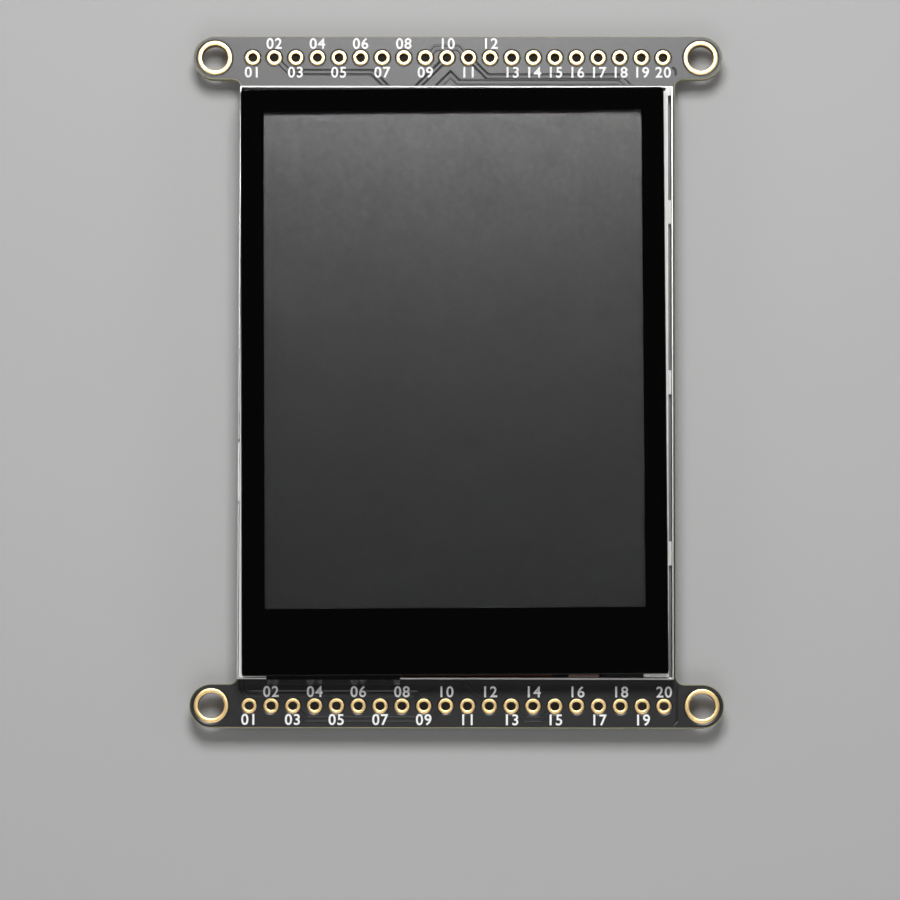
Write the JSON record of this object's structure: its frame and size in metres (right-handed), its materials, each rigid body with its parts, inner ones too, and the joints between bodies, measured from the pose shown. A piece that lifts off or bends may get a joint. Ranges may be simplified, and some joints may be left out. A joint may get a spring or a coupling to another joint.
{
  "type": "tft lcd display module with capacitive touch panel on a circuit board",
  "caption": "Flat colour display under a black-bordered touch lens, on a slim circuit board with two rows of pin holes and a round mounting ear at each corner.",
  "frame": {"origin": "centre of the four mounting holes, on the circuit board's back face", "axes": "+Z out of the display's face, +Y along the display's long side towards the upper pin row, +X to the right as seen from the front"},
  "size_m": [0.0622, 0.0812, 0.0089],
  "materials": {
    "solder_mask": "black satin mask over glass fibre board",
    "gold_plating": "gold flash, satin",
    "foam_tape": "matte black foam",
    "tray_steel": "bright stainless sheet",
    "frame_white": "white moulded plastic",
    "reflector": "silvered film",
    "clear_plastic": "clear moulded plastic",
    "film": "translucent optical film",
    "flex_copper": "amber polyimide over copper",
    "led_body": "white package, pale yellow phosphor",
    "polarizer": "dark grey film, matte outer face",
    "cell_glass": "clear thin glass",
    "silicon": "dark polished silicon",
    "lens_glass": "clear chemically hardened glass",
    "border_ink": "black ink printed on the glass",
    "clear_adhesive": "clear optical adhesive",
    "connector_plastic": "cream moulded plastic",
    "latch_plastic": "black moulded plastic",
    "stiffener_blue": "blue backing film",
    "tinned_metal": "tin plated",
    "socket_steel": "bright stainless sheet",
    "black_plastic": "black moulded plastic",
    "epoxy": "matte black mould compound",
    "capacitor_ceramic": "tan ceramic",
    "resistor_ceramic": "black glaze on ceramic",
    "edge_tape_black": "glossy black film tape"
  },
  "bodies": {
    "board": {"circuit_board": "solder_mask", "header_pads_top_row": "gold_plating", "header_pads_bottom_row": "gold_plating", "mount_hole_plating": "gold_plating", "mounting_tape": "foam_tape", "backlight_tray": "tray_steel", "backlight_frame": "frame_white", "reflector_film": "reflector", "light_guide": "clear_plastic", "diffuser_film": "film", "prism_film_lower": "film", "prism_film_upper": "film", "led_strip": "flex_copper", "backlight_leds": "led_body", "rim_tape": "foam_tape", "rear_polarizer": "polarizer", "tft_glass": "cell_glass", "colour_filter_glass": "cell_glass", "front_polarizer": "polarizer", "driver_chip": "silicon", "touch_gasket": "foam_tape", "sensor_glass": "lens_glass", "optical_adhesive": "clear_adhesive", "lens_border": "border_ink", "cover_lens": "lens_glass", "lcd_flex": "flex_copper", "lcd_flex_stiffener": "stiffener_blue", "touch_flex": "flex_copper", "touch_flex_stiffener": "stiffener_blue", "edge_tape": "edge_tape_black", "lcd_connector_housing": "connector_plastic", "lcd_connector_contacts": "tinned_metal", "touch_connector_housing": "connector_plastic", "touch_connector_contacts": "tinned_metal", "card_socket_cover": "socket_steel", "card_socket_base": "black_plastic", "card_socket_contacts": "gold_plating", "bus_buffer_body": "epoxy", "bus_buffer_leads": "tinned_metal", "level_shifter_body": "epoxy", "level_shifter_leads": "tinned_metal", "regulator_body": "epoxy", "regulator_leads": "tinned_metal", "backlight_transistor_body": "epoxy", "backlight_transistor_leads": "tinned_metal", "touch_controller_body": "epoxy", "touch_controller_pads": "tinned_metal", "capacitor_bodies": "capacitor_ceramic", "capacitor_terminations": "tinned_metal", "resistor_bodies": "resistor_ceramic", "resistor_terminations": "tinned_metal", "jumper_pads": "gold_plating"},
    "lcd_latch": {"lcd_connector_latch": "latch_plastic"},
    "touch_latch": {"touch_connector_latch": "latch_plastic"}
  },
  "joints": [
    {"name": "lcd_latch_flip", "type": "hinge", "parent": "board", "child": "lcd_latch", "pos_m": [0.00237, -0.0261, -0.00145], "axis": [1, 0, 0], "range_deg": [0, 90]},
    {"name": "touch_latch_flip", "type": "hinge", "parent": "board", "child": "touch_latch", "pos_m": [0.01475, -0.0196, -0.00145], "axis": [1, 0, 0], "range_deg": [0, 90]}
  ]
}
